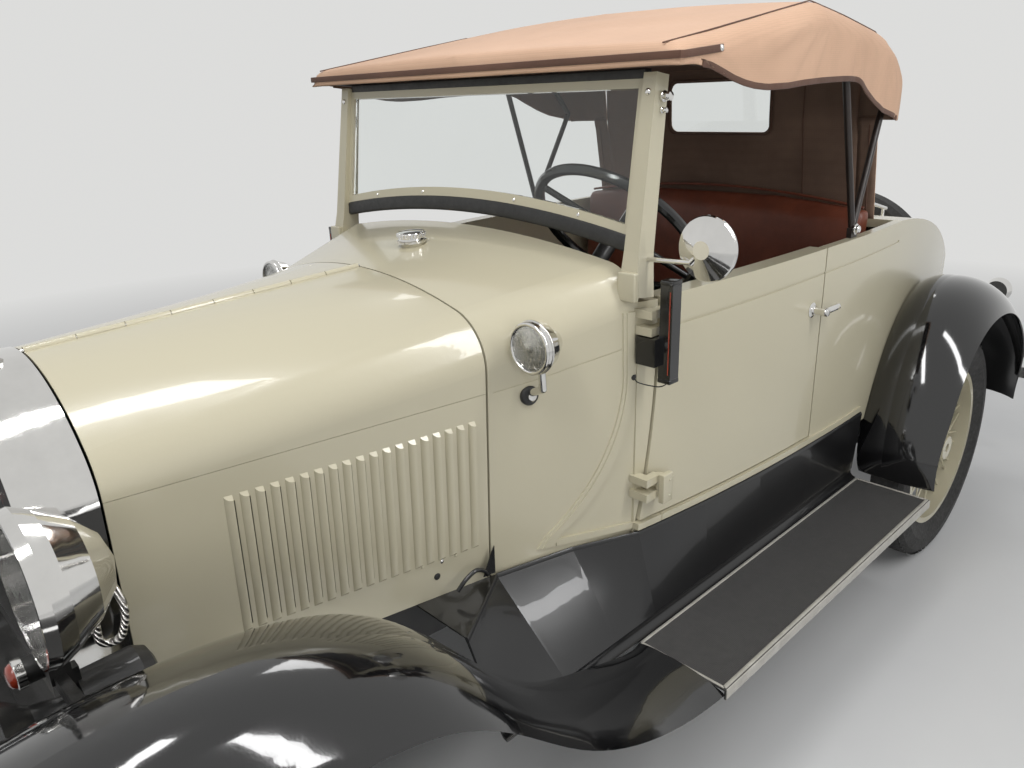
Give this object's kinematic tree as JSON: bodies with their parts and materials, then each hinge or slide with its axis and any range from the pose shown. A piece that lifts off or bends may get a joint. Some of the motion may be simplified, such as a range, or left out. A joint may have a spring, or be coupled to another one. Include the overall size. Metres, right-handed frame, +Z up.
{
  "type": "vintage open roadster car",
  "caption": "Two-seat open roadster of the late nineteen-twenties with its soft top up, wire wheels, long hood, running boards, and a spare wheel behind a rounded deck.",
  "frame": {"origin": "centre of the overall box on the ground", "axes": "+Z up, the front of the car points to -Y, +X is the car's left side"},
  "size_m": [1.7032, 3.9689, 1.742],
  "materials": {
    "chassis_black": "semi-gloss black paint",
    "engine_grey": "painted casting",
    "fender_black": "deep gloss black enamel",
    "body_cream": "gloss cream enamel",
    "chrome": "polished bright plate",
    "radiator_dark": "dark finned core",
    "clear_glass": "clear",
    "board_mat": "ribbed dark grey mat",
    "leather_brown": "pleated red brown leather",
    "canvas_tan": "tan canvas",
    "lining_brown": "dark brown cloth",
    "floor_black": "black mat on boards",
    "dash_black": "gloss black",
    "bow_brown": "dark brown and black ironwork",
    "tyre": "black rubber"
  },
  "bodies": {
    "chassis": {"canopy": "canvas_tan", "cowl": "body_cream", "cowl_lamps": "chrome", "dashboard": "dash_black", "engine_block": "engine_grey", "exhaust": "chassis_black", "floor": "floor_black", "frame": "chassis_black", "front_axle": "chassis_black", "front_bumper": "chrome", "front_fenders": "fender_black", "headlamp_conduits": "chrome", "headlamps": "chrome", "hood_rod": "chrome", "horn": "chassis_black", "lamp_bar": "chassis_black", "lamp_lenses": "clear_glass", "levers": "chassis_black", "mirror": "chrome", "radiator_core": "radiator_dark", "radiator_shell": "chrome", "rear_axle": "chassis_black", "rear_body": "body_cream", "rear_bumpers": "chrome", "rear_curtain": "lining_brown", "rear_fenders": "fender_black", "rear_window": "clear_glass", "running_boards": "board_mat", "seat_back": "leather_brown", "seat_cushion": "leather_brown", "spare_tyre": "tyre", "spare_wheel": "body_cream", "splash_aprons": "fender_black", "steering_column": "chassis_black", "tail_lamps": "chrome", "top_frame": "bow_brown", "top_rests": "chrome", "trafficators": "fender_black", "windshield_frame": "body_cream", "windshield_glass": "clear_glass", "windshield_posts": "body_cream"},
    "steering_wheel": {"steering_wheel": "dash_black"},
    "knuckle_left": {"knuckle_left": "chassis_black"},
    "knuckle_right": {"knuckle_right": "chassis_black"},
    "tie_rod": {"tie_rod": "chassis_black"},
    "wheel_front_left": {"wheel_front_left": "body_cream", "tyre_front_left": "tyre"},
    "wheel_front_right": {"wheel_front_right": "body_cream", "tyre_front_right": "tyre"},
    "wheel_rear_left": {"wheel_rear_left": "body_cream", "tyre_rear_left": "tyre"},
    "wheel_rear_right": {"wheel_rear_right": "body_cream", "tyre_rear_right": "tyre"},
    "door_left": {"door_left": "body_cream"},
    "door_right": {"door_right": "body_cream"},
    "hood_top_left": {"hood_top_left": "body_cream"},
    "hood_top_right": {"hood_top_right": "body_cream"},
    "hood_side_left": {"hood_side_left": "body_cream"},
    "hood_side_right": {"hood_side_right": "body_cream"},
    "luggage_lid": {"luggage_lid": "body_cream"}
  },
  "joints": [
    {"name": "steer_left", "type": "hinge", "parent": "chassis", "child": "knuckle_left", "pos_m": [0.611, -1.4845, 0.381], "axis": [0, 0, 1], "range_deg": [-30, 30]},
    {"name": "steer_right", "type": "hinge", "parent": "chassis", "child": "knuckle_right", "pos_m": [-0.611, -1.4845, 0.381], "axis": [0, 0, 1], "range_deg": [-30, 30]},
    {"name": "tie_rod_left_end", "type": "hinge", "parent": "knuckle_left", "child": "tie_rod", "pos_m": [0.611, -1.3445, 0.381], "axis": [0, 0, 1], "range_deg": [-30, 30]},
    {"name": "steering_column_turn", "type": "hinge", "parent": "chassis", "child": "steering_wheel", "pos_m": [0.32, -0.0845, 1.225], "axis": [0, 0.7431, 0.6691], "range_deg": [-390, 390]},
    {"name": "front_left_wheel_spin", "type": "hinge", "parent": "knuckle_left", "child": "wheel_front_left", "pos_m": [0.711, -1.4845, 0.381], "axis": [1, 0, 0], "continuous": true},
    {"name": "front_right_wheel_spin", "type": "hinge", "parent": "knuckle_right", "child": "wheel_front_right", "pos_m": [-0.711, -1.4845, 0.381], "axis": [1, 0, 0], "continuous": true},
    {"name": "rear_left_wheel_spin", "type": "hinge", "parent": "chassis", "child": "wheel_rear_left", "pos_m": [0.711, 1.1445, 0.381], "axis": [1, 0, 0], "continuous": true},
    {"name": "rear_right_wheel_spin", "type": "hinge", "parent": "chassis", "child": "wheel_rear_right", "pos_m": [-0.711, 1.1445, 0.381], "axis": [1, 0, 0], "continuous": true},
    {"name": "door_left_hinge", "type": "hinge", "parent": "chassis", "child": "door_left", "pos_m": [0.584, -0.2485, 0.9], "axis": [0, 0, -1], "range_deg": [0, 65]},
    {"name": "door_right_hinge", "type": "hinge", "parent": "chassis", "child": "door_right", "pos_m": [-0.584, -0.2485, 0.9], "axis": [0, 0, 1], "range_deg": [0, 65]},
    {"name": "hood_top_left_hinge", "type": "hinge", "parent": "chassis", "child": "hood_top_left", "pos_m": [0, -1.2945, 1.152], "axis": [0, -0.9987, -0.0519], "range_deg": [0, 65]},
    {"name": "hood_side_left_hinge", "type": "hinge", "parent": "hood_top_left", "child": "hood_side_left", "pos_m": [0.27499, -1.2895, 0.96206], "axis": [0.1917, 0.981, 0.0298], "range_deg": [0, 48.75]},
    {"name": "hood_top_right_hinge", "type": "hinge", "parent": "chassis", "child": "hood_top_right", "pos_m": [0, -1.2945, 1.152], "axis": [0, 0.9987, 0.0519], "range_deg": [0, 65]},
    {"name": "hood_side_right_hinge", "type": "hinge", "parent": "hood_top_right", "child": "hood_side_right", "pos_m": [-0.27499, -1.2895, 0.96206], "axis": [0.1917, -0.981, -0.0298], "range_deg": [0, 48.75]},
    {"name": "luggage_lid_hinge", "type": "hinge", "parent": "chassis", "child": "luggage_lid", "pos_m": [0, 1.0455, 1.14289], "axis": [1, 0, 0], "range_deg": [0, 55]}
  ],
  "couplings": [
    {"joint": "steer_right", "follows": "steer_left", "ratio": 1},
    {"joint": "tie_rod_left_end", "follows": "steer_left", "ratio": -1},
    {"joint": "steering_column_turn", "follows": "steer_left", "ratio": 13},
    {"joint": "hood_side_left_hinge", "follows": "hood_top_left_hinge", "ratio": 0.75},
    {"joint": "hood_side_right_hinge", "follows": "hood_top_right_hinge", "ratio": 0.75}
  ]
}
